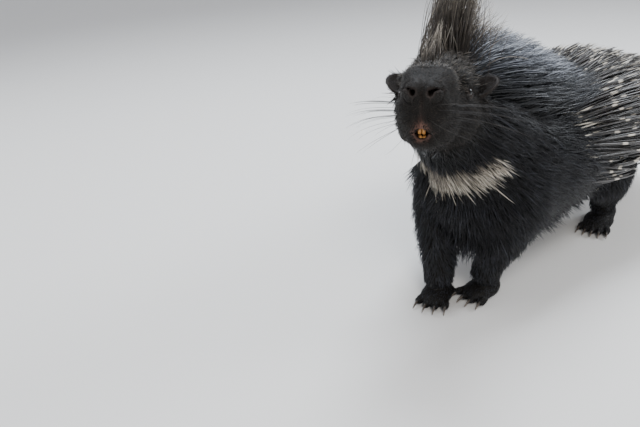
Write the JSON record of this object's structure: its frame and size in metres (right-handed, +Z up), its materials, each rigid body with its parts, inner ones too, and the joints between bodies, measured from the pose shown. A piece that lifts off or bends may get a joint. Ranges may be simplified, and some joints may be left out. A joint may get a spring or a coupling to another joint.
{
  "type": "crested porcupine",
  "caption": "Life-size standing crested porcupine: black bristly body, raised crest and mane, pale throat collar and banded quills swept back over the rump and tail.",
  "frame": {"origin": "centre of the bounding box, at the level of the floor under the feet", "axes": "+Z up; the trunk lies along Y with the head at -Y and the tail at +Y; +X is the animal's left"},
  "size_m": [0.3202, 0.7828, 0.5029],
  "materials": {
    "coat": "coarse glossy black bristles with a blue-grey sheen",
    "face": "short dark brown-black hair",
    "collar": "stiff cream-white bristles on dark roots",
    "crest": "long grey-brown bristles with pale tips",
    "quill": "smooth horn banded black and cream",
    "rattle": "pale hollow horn quills",
    "ear": "thin bare dark skin with sparse hair",
    "eye": "wet near-black brown",
    "tooth": "orange enamel",
    "foot": "dark skin with short hair",
    "claw": "dark horn"
  },
  "bodies": {
    "root": {"forebody": "coat", "hindbody": "coat", "neck": "collar", "head": "face", "crest": "crest", "mane": "coat", "quills_left": "quill", "quills_right": "quill", "tail": "coat", "tail_rattle": "rattle", "ear_left": "ear", "ear_right": "ear", "eye_left": "eye", "eye_right": "eye", "incisors_upper": "tooth", "incisors_lower": "tooth", "foreleg_left": "coat", "foreleg_right": "coat", "forefoot_left": "foot", "forefoot_right": "foot", "hindleg_left": "coat", "hindleg_right": "coat", "hindfoot_left": "foot", "hindfoot_right": "foot"}
  },
  "joints": []
}
